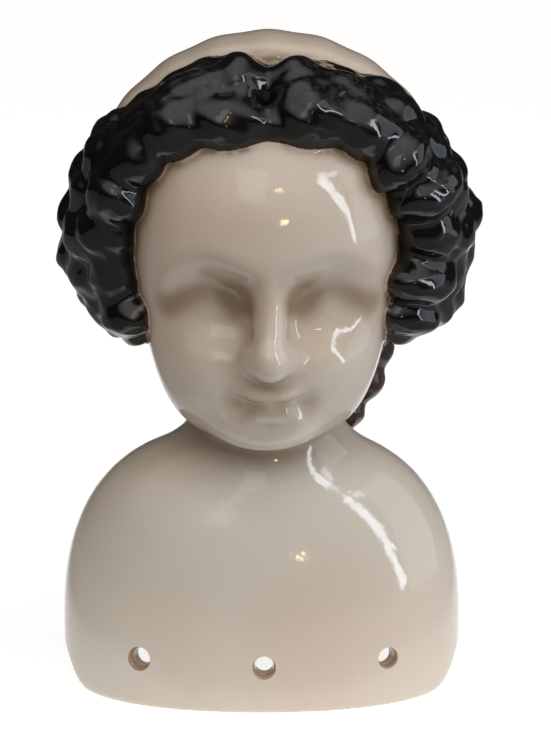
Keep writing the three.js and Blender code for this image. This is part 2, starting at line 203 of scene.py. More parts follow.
def plate(p):
    """Domed shoulder plate, a rounded oblong in plan that deepens towards its lower edge."""
    half, dome = PLATE["half"], PLATE["dome"]
    deep = PLATE["deep"] - PLATE["lean"] * np.maximum(p[:, 2], 0) / (dome + PLATE["skirt"])
    m, n = PLATE["plan"], PLATE["rise"]
    u, v = np.abs(p[:, 0] / half), np.abs(p[:, 1] / deep)
    w = np.maximum(p[:, 2] - PLATE["skirt"], 0) / dome
    across = u ** m + v ** m + 1e-12
    total = across ** (n / m) + w ** n
    scale = total ** (1 / n - 1)
    flat = scale * across ** (n / m - 1)
    sideways = flat * u ** (m - 1) / half
    forwards = flat * v ** (m - 1) / deep
    upwards = scale * w ** (n - 1) / dome
    slope = np.sqrt(sideways ** 2 + forwards ** 2 + upwards ** 2)
    return (total ** (1 / n) - 1) / np.maximum(slope, 1e-4)


def plate_front(x, z):
    """How far in front of the middle the plate's face stands."""
    deep = PLATE["deep"] - PLATE["lean"] * z / (PLATE["dome"] + PLATE["skirt"])
    return deep * (1 - abs(x / PLATE["half"]) ** PLATE["plan"]) ** (1 / PLATE["plan"])


def either_side(p, middle):
    """Points with x measured to either side of a middle plane."""
    q = p - np.array([middle, 0, 0])
    q[:, 0] = np.abs(q[:, 0])
    return q


def bare_head(s):
    """Skull, cheeks, chin and neck, before any feature."""
    f = smooth_max(oval(s, SKULL), s[:, 0] - TEMPLE, 12)
    f = smooth_min(f, oval(s, JAW), 8)
    f = smooth_min(f, oval(s, CHEEK), 6)
    f = smooth_min(f, oval(s, CHIN), 5)
    return smooth_min(f, rod(s, NECK["high"], NECK["low"], NECK["high_r"], NECK["low_r"]), 4)


def skin(p):
    """Face, neck and shoulders."""
    s = either_side(p, FACE_X)
    f = smooth_min(bare_head(s), plate(p), 7)
    s = either_side(p, FEATURE_X)
    for fold in EYE_FOLDS:
        f = smooth_max(f, -rod(s, *fold), 9)
    f = smooth_max(f, -oval(s, EYE_CORNER), 5)
    f = smooth_min(f, rod(s, *NOSE), 4)
    f = smooth_min(f, oval(s, NOSE_TIP), 3)
    f = smooth_min(f, oval(s, NOSTRIL), 3)
    f = smooth_min(f, oval(s, UPPER_LIP), 3)
    f = smooth_min(f, oval(s, LOWER_LIP), 4)
    f = smooth_max(f, -rod(s, *MOUTH), 2)
    f = smooth_max(f, -oval(s, MOUTH_CORNER), 3)
    return smooth_max(f, -oval(s, UNDER_LIP), 4)


def on_curve(path, t):
    """The point at t, from 0 to 1, on a curve with four handles."""
    t = np.asarray(t, float)[..., None]
    p = np.asarray(path, float)
    return (1 - t) ** 3 * p[0] + 3 * (1 - t) ** 2 * t * p[1] + 3 * (1 - t) * t * t * p[2] + t ** 3 * p[3]


def lock_radius(lock, t):
    r = lock["radii"]
    return r[0] * (1 - t) ** 2 + 2 * r[1] * t * (1 - t) + r[2] * t * t


def lock_crests():
    """Every wave of the roll as an oval: centre, half sizes, its own axes and how softly it joins."""
    crests = []
    fine = np.linspace(0, 1, 200)
    for side in (-1, 1):
        for lock in LOCKS:
            curve = on_curve(lock["path"], fine)
            run = np.concatenate([[0], np.cumsum(np.linalg.norm(np.diff(curve, axis=0), axis=1))])
            ends = np.cumsum((0,) + lock["crests"]) / sum(lock["crests"]) * run[-1]
            for i, (start, end) in enumerate(zip(ends, ends[1:])):
                t = np.interp((start + end) / 2, run, fine)
                at = on_curve(lock["path"], t)
                along = on_curve(lock["path"], min(t + 0.01, 1)) - on_curve(lock["path"], max(t - 0.01, 0))
                along /= np.linalg.norm(along)
                out = at - np.array(ROLL_CENTRE)
                out -= (out @ along) * along
                out /= np.linalg.norm(out)
                across = np.cross(out, along)
                uneven = LOCK_UNEVEN * np.sin(2.4 * i + lock["phase"] + 1.1 * side)
                sway = LOCK_SWAY * np.sin(1.9 * i + lock["phase"] + 0.7 * side)
                # the roll is slimmer at its upper left and fuller down its right front
                if side < 0 and 0.25 < t < 0.55:
                    uneven -= 0.12
                if side < 0 and 0.2 < t < 0.5:
                    sway -= 1.2
                radius = lock_radius(lock, t) * (1 + uneven)
                if side > 0 and lock is LOCKS[0] and t > 0.3:
                    radius += 0.8 if t < 0.5 else 1.4
                at = at + across * sway
                turn = np.array([side, 1, 1])
                size = ((end - start) * WAVE_LENGTH, radius * WAVE_WIDTH, radius)
                blend = 1.7 if lock is LOCKS[0] else 1.7 + 3.0 * max(0, 1 - t / 0.35)
                crests.append(((at * turn, size), np.array([along, across, out]) * turn, blend))
    return crests


CRESTS = lock_crests()


def join_near(f, p, form, k, axes=None):
    """Joins an oval onto f, worked out only where it can reach."""
    near = np.linalg.norm(p - np.asarray(form[0], float), axis=1) < 2.2 * max(form[1]) + 3
    if near.any():
        f[near] = smooth_min(f[near], oval(p[near], form, axes), k)


def hair_mass(s):
    """The roll as plain swellings, without its waves."""
    f = np.full(len(s), 30.0)
    for lock in LOCKS:
        curve = on_curve(lock["path"], np.linspace(0, 1, 12))
        for i in range(11):
            r = lock_radius(lock, i / 11) * LOCK_CORE
            near = np.linalg.norm(s - (curve[i] + curve[i + 1]) / 2, axis=1) < 22
            f[near] = smooth_min(f[near], rod(s[near], curve[i], curve[i + 1], r, r), 2.5)
    return smooth_min(f, oval(s, SIDE_MASS), 3)


def hair(p):
    """The roll with its waves, and the curls at the nape."""
    h = p - np.array([HEAD_X, 0, 0])
    f = hair_mass(either_side(p, HEAD_X))
    for form, axes, blend in CRESTS:
        join_near(f, h, form, blend, axes)
    n = h - np.array([NAPE_X, 0, 0])
    f = smooth_min(f, oval(n, NAPE_MASS), 2)
    for k, turn in enumerate(NAPE_TURNS):
        x = math.sin(turn) * NAPE_RING["wide"]
        y = math.cos(turn) * NAPE_RING["deep"]
        lift = NAPE_RING["lift"] * (-1 if k % 2 == 0 else 1)
        for z, out, size in NAPE_CRESTS:
            at = (x * out, NAPE_RING["y"] + y * out, z + lift)
            join_near(f, n, (at, size), 2.2)
    x, y, z = h.T
    across = np.sin(0.8 * x + 1.4 * np.sin(0.5 * z))
    down = np.sin(0.85 * z + 1.2 * np.sin(0.6 * y))
    return f + HAIR_RIPPLE * across * down * np.cos(0.7 * y)


def cap(p, gathers, depth):
    """Cap over crown and back, with soft gathers round its crown."""
    h = p - np.array([HEAD_X, 0, 0])
    up = h[:, 2] - CAP[0][2]
    turn = np.arctan2(h[:, 0], up + 1e-9)
    fade = np.clip((np.hypot(h[:, 0], up) - 8) / 18, 0, 1)
    f = oval(h, CAP) - depth * np.cos(turn * gathers) * fade
    f = smooth_max(f, HEM["z"] - h[:, 2] - HEM["slope"] * (h[:, 1] - HEM["y"]), 2)
    return smooth_max(f, CAP_FRONT["y"] + (CAP_FRONT["z"] - h[:, 2]) * CAP_FRONT["slope"] - h[:, 1], 4)


class Casting:
    """The whole piece as forms, with the sizes that the settings give."""

    def __init__(self, sizes):
        self.sizes = sizes

    def white(self, p):
        """Skin and cap, the parts that stay white."""
        return np.minimum(skin(p), cap(p, self.sizes.gathers, self.sizes.gather_depth))

    def solid(self, p):
        """Taken as solid, standing on its rounded edge, arched over the arms."""
        f = smooth_min(self.white(p), hair(p), HAIR_SEAM)
        arch = ARCH_RISE * np.exp(-((p[:, 1] / ARCH_HALF) ** 4))
        return round_max(f, FOOT + arch - p[:, 2], self.sizes.edge)

    def hollow(self, p):
        """The space inside, one wall away from the outside."""
        f = smooth_min(bare_head(either_side(p, FACE_X)), cap(p, self.sizes.gathers, 0.0), 4)
        f = smooth_min(f, smooth_max(hair_mass(either_side(p, HEAD_X)), HAIR_FLOOR - p[:, 2], 5), 4)
        f = smooth_min(f, oval(p - np.array([HEAD_X + NAPE_X, 0, 0]), NAPE_MASS), 4)
        f = smooth_min(f, plate(p), 7) + self.sizes.wall
        thin = smooth_min(self.white(p), hair(p), HAIR_SEAM) + self.sizes.thin_wall
        return round_max(smooth_max(f, thin, 2), HOLLOW_END - p[:, 2], 0.5)

    def pooled_glaze_and_shade(self, p):
        """0 to 1 where glaze gathers and shade is painted: eye folds and corners, mouth, under nose and
        lips, and painted shade alone under the jaw.
        """
        s = either_side(p, FEATURE_X)

        def fading(distance, reach):
            return np.exp(-((distance / reach) ** 2))

        def pool_and_shade(centre, weights, reach, tone):
            away = np.linalg.norm((s - np.array(centre)) * np.array(weights), axis=1)
            return tone * fading(away, reach)

        outer, top, inner = FOLD_LINE
        fold = np.minimum(rod(s, outer, top, 0, 0), rod(s, top, inner, 0, 0))
        depth = FOLD_TONE * fading(fold, FOLD_REACH)
        depth += MOUTH_TONE * fading(rod(s, *MOUTH[:2], 0, 0), MOUTH_REACH)
        depth += sum(pool_and_shade(*place) for place in SHADE_POOLS)
        front = np.clip(FACE_FRONT - p[:, 1], 0, 1) * np.minimum(depth, 1)
        return np.maximum(front, pool_and_shade(*JAW_SHADE))

    def hair_edge(self, p):
        """Millimetres past the hair's edge: above 0 on hair, below 0 on white."""
        return np.clip(self.white(p) - hair(p), -6, 6)


def gradient(form, p, step=0.05):
    g = np.empty_like(p)
    for i in range(3):
        d = np.zeros(3)
        d[i] = step
        g[:, i] = (form(p + d) - form(p - d)) / (2 * step)
    return g


def settle(form, p, steps, reach):
    """Moves points onto the surface of a form."""
    for _ in range(steps):
        g = gradient(form, p)
        d = np.clip(-form(p) / np.maximum((g * g).sum(1), 0.05), -reach, reach)
        p = p + d[:, None] * g
    return p


def net_surface(form, low, high, pitch, coarse=4):
    """Closed mesh of quads round a form, worked out on a grid only near its surface."""
    low, high = np.asarray(low, float), np.asarray(high, float)
    block = pitch * coarse
    count = np.ceil((high - low) / block).astype(int) + 1
    centres = [low[i] + block * (np.arange(count[i]) + 0.5) for i in range(3)]
    rough = form(np.stack(np.meshgrid(*centres, indexing="ij"), -1).reshape(-1, 3)).reshape(count)
    near = np.abs(rough) < block * 1.13 + pitch
    value, mark = rough, near
    for axis in range(3):
        value = np.repeat(value, coarse, axis)
        mark = np.repeat(mark, coarse, axis)
    value = value.copy()
    value[mark] = form(low + pitch * (np.argwhere(mark) + 0.5))
    inside = value < 0
    size = np.array(value.shape)
    corners = [np.array((i, j, k)) for i in (0, 1) for j in (0, 1) for k in (0, 1)]

    def shifted(c):
        return inside[tuple(slice(c[a], size[a] - 1 + c[a]) for a in range(3))]

    filled = sum(shifted(c).astype(np.int8) for c in corners)
    crossed = (filled > 0) & (filled < 8)
    cells = np.argwhere(crossed)
    index = np.full(crossed.shape, -1, np.int64)
    index[crossed] = np.arange(len(cells))
    total = np.zeros((len(cells), 3))
    hits = np.zeros(len(cells))
    for a in corners:
        for b in corners:
            if (b - a).min() < 0 or (b - a).sum() != 1:
                continue
            va, vb = value[tuple((cells + a).T)], value[tuple((cells + b).T)]
            hit = (va < 0) != (vb < 0)
            t = va[hit] / (va[hit] - vb[hit])
            total[hit] += a + t[:, None] * (b - a)
            hits[hit] += 1
    points = low + pitch * (0.5 + cells + total / hits[:, None])
    quads = []
    for axis in range(3):
        u, v = (axis + 1) % 3, (axis + 2) % 3
        step, du, dv = np.eye(3, dtype=int)[[axis, u, v]]
        first = inside[tuple(slice(0, size[i] - step[i]) for i in range(3))]
        second = inside[tuple(slice(step[i], size[i]) for i in range(3))]
        edge = np.argwhere(first != second)
        inner_u = (edge[:, u] > 0) & (edge[:, u] < size[u] - 1)
        inner_v = (edge[:, v] > 0) & (edge[:, v] < size[v] - 1)
        edge = edge[inner_u & inner_v]
        out = inside[tuple(edge.T)]
        quad = np.stack([index[tuple(q.T)] for q in (edge - du - dv, edge - dv, edge, edge - du)], 1)
        quad[~out] = quad[~out][:, ::-1]
        quads.append(quad)
    return points, np.concatenate(quads)


# Mesh and node helpers

def make_object(name, points, faces):
    mesh = bpy.data.meshes.new(name)
    mesh.from_pydata(points.tolist(), [], faces.tolist())
    mesh.update()
    piece = bpy.data.objects.new(name, mesh)
    bpy.context.scene.collection.objects.link(piece)
    return piece


def as_plain_mesh(piece):
    """The piece with its modifiers made into a plain mesh."""
    depsgraph = bpy.context.evaluated_depsgraph_get()
    mesh = bpy.data.meshes.new_from_object(piece.evaluated_get(depsgraph), depsgraph=depsgraph)
    piece.modifiers.clear()
    old, piece.data = piece.data, mesh
    mesh.name = piece.name
    bpy.data.meshes.remove(old)
    return piece


def cut(piece, tool):
    """Cuts one closed piece out of another."""
    modifier = piece.modifiers.new("cut", "BOOLEAN")
    modifier.operation = "DIFFERENCE"
    modifier.solver = "MANIFOLD"
    modifier.object = tool
    as_plain_mesh(piece)
    mesh = tool.data
    bpy.data.objects.remove(tool)
    bpy.data.meshes.remove(mesh)
    return piece


def add_node(tree, kind, at, **values):
    """A node with its sockets set: a value or a colour, or another node's output to link."""
    node = tree.nodes.new(kind)
    node.location = at
    for name, value in values.items():
        socket = name.replace("_", " ")
        if hasattr(node, name) and socket not in node.inputs:
            setattr(node, name, value)
        elif isinstance(value, bpy.types.NodeSocket):
            tree.links.new(value, node.inputs[socket])
        else:
            node.inputs[socket].default_value = value
    return node


def maths(tree, operation, at, a, b=None, c=None, clamp=False):
    """A sum on numbers or sockets."""
    node = tree.nodes.new("ShaderNodeMath")
    node.operation = operation
    node.location = at
    node.use_clamp = clamp
    for socket, value in zip(node.inputs, (a, b, c)):
        if isinstance(value, bpy.types.NodeSocket):
            tree.links.new(value, socket)
        elif value is not None:
            socket.default_value = value
    return node.outputs[0]


def ramp(tree, at, value, low, high):
    """0 to 1 softly as value goes from low to high."""
    node = add_node(tree, "ShaderNodeMapRange", at, interpolation_type="SMOOTHSTEP", Value=value)
    node.inputs["From Min"].default_value = low
    node.inputs["From Max"].default_value = high
    return node.outputs["Result"]


def mix_colour(tree, at, factor, a, b):
    """From colour a to colour b as the factor goes from 0 to 1."""
    node = tree.nodes.new("ShaderNodeMix")
    node.data_type = "RGBA"
    node.location = at
    for socket, value in zip((node.inputs[0], node.inputs[6], node.inputs[7]), (factor, a, b)):
        if isinstance(value, bpy.types.NodeSocket):
            tree.links.new(value, socket)
        elif isinstance(value, float):
            socket.default_value = value
        else:
            socket.default_value = (*value, 1.0)
    return node.outputs[2]


# Settings

class CastingSizes(bpy.types.PropertyGroup):
    wall: FloatProperty(
        name="Wall", description="Thickness of the casting in millimetres", default=3.0, min=2, max=5
    )
    thin_wall: FloatProperty(
        name="Thinnest wall", description="Least thickness behind hollows, in millimetres",
        default=2.7, min=1, max=5,
    )
    edge: FloatProperty(
        name="Edge", description="Rounding of the lower edge in millimetres", default=1.3, min=0.2, max=1.6
    )
    gathers: IntProperty(
        name="Gathers", description="Number of soft folds round the cap", default=22, min=4, max=60
    )
    gather_depth: FloatProperty(
        name="Gather depth", description="Depth of the cap's folds in millimetres",
        default=0.14, min=0, max=1,
    )
    hole: FloatProperty(
        name="Sewing hole", description="Radius of a sewing hole in millimetres", default=1.8, min=0.5, max=4
    )
    hole_flare: FloatProperty(
        name="Hole flare", description="How much wider a sewing hole is at the outside, in millimetres",
        default=0.6, min=0, max=2,
    )
    fineness: FloatProperty(
        name="Fineness", description="Spacing of the surface's points in millimetres",
        default=0.71, min=0.4, max=3,
    )
    inner_fineness: FloatProperty(
        name="Inner fineness", description="Spacing of the points inside, in millimetres",
        default=2.0, min=1, max=4,
    )


class GlazeColours(bpy.types.PropertyGroup):
    body: FloatVectorProperty(
        name="Body", description="Clear glazed porcelain",
        subtype="COLOR", default=(0.66, 0.60, 0.52), min=0, max=1,
    )
    body_warm: FloatVectorProperty(
        name="Warm body", description="Porcelain where the firing left it warmer",
        subtype="COLOR", default=(0.66, 0.545, 0.45), min=0, max=1,
    )
    # painted shade: the brown that hollows, creases and the jaw's underside are darkened towards, also the
    # tone of glaze gathered there
    pooled_glaze_and_shade: FloatVectorProperty(
        name="Pooled glaze and painted shade", description="Tone of thick glaze and of painted shade in the hollows",
        subtype="COLOR", default=(0.34, 0.24, 0.155), min=0, max=1,
    )
    speck: FloatVectorProperty(
        name="Kiln speck", description="Small dark specks from the kiln",
        subtype="COLOR", default=(0.16, 0.11, 0.08), min=0, max=1,
    )
    hair: FloatVectorProperty(
        name="Hair", description="Black glaze of the hair",
        subtype="COLOR", default=(0.006, 0.0055, 0.006), min=0, max=1,
    )
    hair_thin: FloatVectorProperty(
        name="Thin hair glaze", description="Black glaze where it runs thin",
        subtype="COLOR", default=(0.06, 0.022, 0.010), min=0, max=1,
    )
    # painted sheen: grey laid on the hair where it faces up, in place of reflected light
    hair_sheen: FloatVectorProperty(
        name="Painted sheen", description="Greyish bloom on top of the hair",
        subtype="COLOR", default=(0.085, 0.085, 0.085), min=0, max=1,
    )


class StageSettings(bpy.types.PropertyGroup):
    floor: FloatVectorProperty(
        name="Floor", description="Colour of the floor", subtype="COLOR",
        default=(0.42, 0.42, 0.42), min=0, max=1,
    )
    floor_glow: FloatProperty(
        name="Floor glow", description="How brightly the floor glows where the main view shows it",
        default=0.80, min=0,
    )
    sky: FloatProperty(name="Sky", description="Strength of the soft light from above", default=1.2, min=0)
    window: FloatProperty(
        name="Window", description="Brightness of the window strips on the right", default=10, min=0
    )
    distance: FloatProperty(
        name="Distance", description="From the camera to the middle of the head",
        default=0.4, min=0.1, unit="LENGTH",
    )
    elevation: FloatProperty(
        name="Elevation", description="How far above level the camera looks down from",
        default=math.radians(12.5), subtype="ANGLE", unit="ROTATION",
    )
    lens: FloatProperty(
        name="Lens", description="Focal length in millimetres", default=101.4, min=20, max=300
    )


# Sewing holes as pins, made by Geometry Nodes

def hole_places(sizes):
    """Sizes and places of the sewing holes in metres, set where the plate's faces are."""
    front = plate_front(0, HOLES["middle_high"])
    places = {
        "Radius": sizes.hole,
        "Flare": sizes.hole_flare,
        "Side": HOLES["side"],
        "Front": front,
        "Set back": front - plate_front(HOLES["side"], HOLES["high"]),
        "Middle height": HOLES["middle_high"],
        "Side height": HOLES["high"],
    }
    places = {name: value / 1000 for name, value in places.items()}
    places["Turn"] = math.radians(HOLES["turn"])
    return places


def sewing_pins_tree(material, places):
    """Six pins square to the wall, three in front and three behind, flared where they leave it."""
    tree = bpy.data.node_groups.new("sewing_pins", "GeometryNodeTree")
    face = tree.interface
    face.new_socket("Geometry", in_out="OUTPUT", socket_type="NodeSocketGeometry")
    for name, value in places.items():
        face.new_socket(name, in_out="INPUT", socket_type="NodeSocketFloat").default_value = value
    sizes = add_node(tree, "NodeGroupInput", (-1400, 0)).outputs
    place = add_node(tree, "GeometryNodeInputPosition", (-1100, 80)).outputs[0]

    # one pin along Z: a line whose thickness swells where it passes the wall's outside
    line = add_node(
        tree, "GeometryNodeCurvePrimitiveLine", (-1100, 300),
        Start=(0, 0, -PIN["half"]), End=(0, 0, PIN["half"]),
    )
    fine = add_node(
        tree, "GeometryNodeResampleCurve", (-920, 300), Curve=line.outputs["Curve"], Count=PIN["rings"]
    )
    height = add_node(tree, "ShaderNodeSeparateXYZ", (-920, 80), Vector=place).outputs["Z"]
    rise = add_node(tree, "ShaderNodeMapRange", (-740, 80), Value=height)
    rise.interpolation_type = "SMOOTHERSTEP"
    rise.inputs["From Min"].default_value, rise.inputs["From Max"].default_value = PIN["flare"]
    swell = maths(tree, "MULTIPLY", (-560, 80), rise.outputs["Result"], sizes["Flare"])
    thick = maths(tree, "ADD", (-400, 80), swell, sizes["Radius"])
    ring = add_node(
        tree, "GeometryNodeCurvePrimitiveCircle", (-400, -100), Resolution=PIN["sides"], Radius=1.0
    )
    pin = add_node(
        tree, "GeometryNodeCurveToMesh", (-200, 300), Curve=fine.outputs["Curve"],
        Profile_Curve=ring.outputs["Curve"], Scale=thick, Fill_Caps=True,
    )

    # three places in front, -1, 0 and 1 across
    spots = add_node(
        tree, "GeometryNodeMeshLine", (-1100, -400), Count=3, Start_Location=(-1, 0, 0), Offset=(1, 0, 0)
    )
    across = add_node(tree, "ShaderNodeSeparateXYZ", (-920, -400), Vector=place).outputs["X"]
    away = maths(tree, "ABSOLUTE", (-760, -400), across)
    x = maths(tree, "MULTIPLY", (-600, -340), across, sizes["Side"])
    back = maths(tree, "MULTIPLY", (-600, -480), away, sizes["Set back"])
    y = maths(tree, "SUBTRACT", (-440, -480), back, sizes["Front"])
    lift = maths(tree, "SUBTRACT", (-600, -620), sizes["Side height"], sizes["Middle height"])
    z = maths(tree, "MULTIPLY_ADD", (-440, -620), lift, away, sizes["Middle height"])
    spot = add_node(tree, "ShaderNodeCombineXYZ", (-260, -500), X=x, Y=y, Z=z)

    # each spot keeps its heading as an attribute, worked out before the spot is moved
    heading = maths(tree, "MULTIPLY", (-440, -780), across, sizes["Turn"])
    keep = add_node(
        tree, "GeometryNodeStoreNamedAttribute", (-260, -300), Geometry=spots.outputs["Mesh"],
        Name="heading", Value=heading,
    )
    placed = add_node(
        tree, "GeometryNodeSetPosition", (-80, -400), Geometry=keep.outputs["Geometry"],
        Position=spot.outputs[0],
    )
    kept = add_node(tree, "GeometryNodeInputNamedAttribute", (-80, -700), Name="heading")
    angles = add_node(
        tree, "ShaderNodeCombineXYZ", (100, -640), X=math.radians(90), Z=kept.outputs["Attribute"]
    )
    front = add_node(
        tree, "GeometryNodeInstanceOnPoints", (280, 0), Points=placed.outputs["Geometry"],
        Instance=pin.outputs["Mesh"], Rotation=angles.outputs[0],
    )
    single = add_node(
        tree, "GeometryNodeRealizeInstances", (460, 0), Geometry=front.outputs["Instances"]
    ).outputs["Geometry"]
    behind = add_node(
        tree, "GeometryNodeTransform", (640, -160), Geometry=single, Rotation=(0, 0, math.pi)
    ).outputs["Geometry"]
    both = add_node(tree, "GeometryNodeJoinGeometry", (820, 0))
    tree.links.new(behind, both.inputs[0])
    tree.links.new(single, both.inputs[0])
    whole = add_node(tree, "GeometryNodeRealizeInstances", (980, 0), Geometry=both.outputs["Geometry"])
    dressed = add_node(
        tree, "GeometryNodeSetMaterial", (1140, 0), Geometry=whole.outputs["Geometry"], Material=material
    )
    add_node(tree, "NodeGroupOutput", (1320, 0), Geometry=dressed.outputs["Geometry"])
    return tree


def make_pins(sizes, material):
    """The pins that cut the sewing holes."""
    places = hole_places(sizes)
    tree = sewing_pins_tree(material, places)
    pins = make_object("sewing_pins", np.zeros((1, 3)), np.zeros((0, 3), int))
    modifier = pins.modifiers.new("sewing_pins", "NODES")
    modifier.node_group = tree
    identifiers = {s.name: s.identifier for s in tree.interface.items_tree if s.in_out == "INPUT"}
    for name, value in places.items():
        modifier[identifiers[name]] = value
    return as_plain_mesh(pins)


# Glaze

def speck_group():
    """Kiln specks: small dots, each kept or left out by chance."""
    tree = bpy.data.node_groups.new("kiln_specks", "ShaderNodeTree")
    face = tree.interface
    face.new_socket("Vector", in_out="INPUT", socket_type="NodeSocketVector")
    for name in ("Scale", "Size", "Share"):
        face.new_socket(name, in_out="INPUT", socket_type="NodeSocketFloat")
    face.new_socket("Mask", in_out="OUTPUT", socket_type="NodeSocketFloat")
    given = add_node(tree, "NodeGroupInput", (-600, 0)).outputs
    cells = add_node(tree, "ShaderNodeTexVoronoi", (-400, 0), Vector=given["Vector"], Scale=given["Scale"])
    chance = add_node(tree, "ShaderNodeSeparateColor", (-200, -120), Color=cells.outputs["Color"])
    kept = maths(tree, "LESS_THAN", (-20, -120), chance.outputs["Red"], given["Share"])
    spread = maths(tree, "MULTIPLY", (-20, -280), chance.outputs["Green"], given["Size"])
    dot = maths(tree, "SUBTRACT", (-20, 40), spread, cells.outputs["Distance"])
    soft = ramp(tree, (160, 40), dot, 0.0, 0.02)
    mask = maths(tree, "MULTIPLY", (340, 0), soft, kept)
    add_node(tree, "NodeGroupOutput", (520, 0), Mask=mask)
    return tree


def clouds(tree, at, vector, scale, detail=2.0):
    """Soft patches of chance from 0 to 1, smaller as scale grows."""
    noise = add_node(tree, "ShaderNodeTexNoise", at, Vector=vector, Scale=scale, Detail=detail)
    return noise.outputs["Fac"]


def glaze_material(colours):
    """Clear glaze over a pale body, and black glaze where the hair is."""
    material = bpy.data.materials.new("glazed_porcelain")
    material.use_nodes = True
    tree = material.node_tree
    surface = tree.nodes["Principled BSDF"]
    surface.location = (900, 0)
    tree.nodes["Material Output"].location = (1200, 0)
    where = add_node(tree, "ShaderNodeTexCoord", (-1600, 0)).outputs["Object"]
    height = add_node(tree, "ShaderNodeSeparateXYZ", (-1400, 160), Vector=where).outputs["Z"]
    edge = add_node(tree, "ShaderNodeAttribute", (-1600, 400), attribute_name="hair_edge").outputs["Fac"]
    shade_and_pooling = add_node(tree, "ShaderNodeAttribute", (-1600, 700), attribute_name="shade_and_pooling").outputs["Fac"]
    facing = add_node(tree, "ShaderNodeNewGeometry", (-1600, -500)).outputs["Normal"]
    upward = add_node(tree, "ShaderNodeSeparateXYZ", (-1400, -500), Vector=facing).outputs["Z"]

    # the edge of the black glaze wanders a little, and its first millimetre is thin
    wander = maths(tree, "MULTIPLY_ADD", (-1200, 400), clouds(tree, (-1400, 300), where, 420), 0.5, -0.25)
    edge = maths(tree, "ADD", (-1040, 400), edge, wander)
    black = ramp(tree, (-860, 400), edge, -0.06, 0.06)
    thin = maths(tree, "SUBTRACT", (-680, 520), 1.0, ramp(tree, (-860, 560), edge, 0.05, 1.1))

    # pale body: slow drifts of tone, warmer towards the face, and browner where glaze gathers and where
    # shade is painted in hollows, creases and under the jaw
    drift = ramp(tree, (-1200, 0), clouds(tree, (-1400, 0), where, 22), 0.35, 0.7)
    rosy = maths(tree, "MULTIPLY", (-1040, 160), ramp(tree, (-1200, 160), height, 0.045, 0.075), 0.6)
    drift = maths(tree, "ADD", (-900, 100), drift, rosy, clamp=True)
    pale = mix_colour(tree, (-1000, 0), drift, colours.body, colours.body_warm)
    # painted shade, with glaze that gathers there: the body is mixed towards brown by how closed in each
    # point is
    pool_and_shade = ramp(tree, (-1000, 760), shade_and_pooling, 0.05, 0.70)
    pale = mix_colour(tree, (-820, 0), pool_and_shade, pale, colours.pooled_glaze_and_shade)
    specks = add_node(
        tree, "ShaderNodeGroup", (-1200, -180), node_tree=speck_group(),
        Vector=where, Scale=190, Size=0.055, Share=0.10,
    )
    speckled = maths(tree, "MULTIPLY", (-820, -180), specks.outputs["Mask"], 0.55)
    pale = mix_colour(tree, (-640, 0), speckled, pale, colours.speck)

    # black glaze: brown where thin and low on the nape, and a grey painted sheen on what faces up, standing
    # in for reflected light
    low = maths(tree, "SUBTRACT", (-680, 700), 1.0, ramp(tree, (-860, 720), height, 0.054, 0.072))
    thin = maths(tree, "MAXIMUM", (-560, 640), thin, low)
    brown = maths(tree, "MULTIPLY", (-620, 560), thin, 0.8)
    dark = mix_colour(tree, (-480, 400), brown, colours.hair, colours.hair_thin)
    # painted sheen: the more a face of the hair points up, the greyer it is made, in patches
    top = ramp(tree, (-1200, -500), upward, 0.15, 0.95)
    grain = ramp(tree, (-1200, -660), clouds(tree, (-1400, -700), where, 900, 6.0), 0.42, 0.75)
    patches = ramp(tree, (-1000, -700), clouds(tree, (-1400, -900), where, 60), 0.3, 0.8)
    painted_sheen = maths(tree, "MULTIPLY", (-1000, -500), top, grain)
    painted_sheen = maths(tree, "MULTIPLY", (-840, -500), painted_sheen, patches)
    sheen_share = maths(tree, "MULTIPLY", (-460, 240), painted_sheen, 0.55)
    dark = mix_colour(tree, (-300, 400), sheen_share, dark, colours.hair_sheen)

    colour = mix_colour(tree, (-100, 100), black, pale, dark)
    tree.links.new(colour, surface.inputs["Base Color"])

    # gloss, duller under the painted sheen, and a surface that ripples as a dipped glaze does
    dull = maths(tree, "MULTIPLY", (40, -100), painted_sheen, black)
    rough = maths(tree, "MULTIPLY_ADD", (200, -100), dull, 0.25, 0.085)
    tree.links.new(rough, surface.inputs["Roughness"])
    slow = clouds(tree, (-100, -400), where, 110, 1.0)
    fast = maths(tree, "MULTIPLY", (60, -560), clouds(tree, (-100, -560), where, 520, 1.0), 0.25)
    waves = maths(tree, "ADD", (220, -400), slow, fast)
    ripple = add_node(tree, "ShaderNodeBump", (400, -400), Strength=0.35, Distance=0.0004, Height=waves)
    tree.links.new(ripple.outputs["Normal"], surface.inputs["Normal"])
    surface.inputs["IOR"].default_value = 1.52
    surface.inputs["Subsurface Weight"].default_value = 0.12
    surface.inputs["Subsurface Radius"].default_value = (1.0, 0.62, 0.4)
    surface.inputs["Subsurface Scale"].default_value = 0.002
    return material


# Operators

def read_rows(mesh, name):
    """Places or normals of a mesh's points, as rows of x, y, z."""
    values = np.empty(len(mesh.vertices) * 3, np.float32)
    mesh.vertices.foreach_get(name, values)
    return values.reshape(-1, 3).astype(float)


def write_attributes(mesh, casting, to_casting):
    """Millimetres past the hair's edge, and how closed in each point is, for the glaze's painted shade and
    gathered glaze.
    """
    points = to_casting(read_rows(mesh, "co"))
    normals = read_rows(mesh, "normal")
    inside = casting.solid(points) < -INSIDE_DEPTH
    edge = casting.hair_edge(points)
    edge[inside] = -6
    shade_and_pooling = np.zeros(len(points))
    # painted shade: points closed in by nearby surface are marked to be darkened and browned
    for reach in SHELTER_REACHES:
        open_share = casting.solid(points + normals * reach) / reach
        shade_and_pooling += np.clip(1 - open_share, 0, 1) / len(SHELTER_REACHES)
    shade_and_pooling = 0.9 * np.maximum(shade_and_pooling, casting.pooled_glaze_and_shade(points))
    # painted shade inside the hollow: every inner point gets one even darker tone
    shade_and_pooling[inside] = INSIDE_SHELTER
    for name, values in (("hair_edge", edge), ("shade_and_pooling", shade_and_pooling)):
        mesh.attributes.new(name, "FLOAT", "POINT").data.foreach_set("value", values.astype(np.float32))


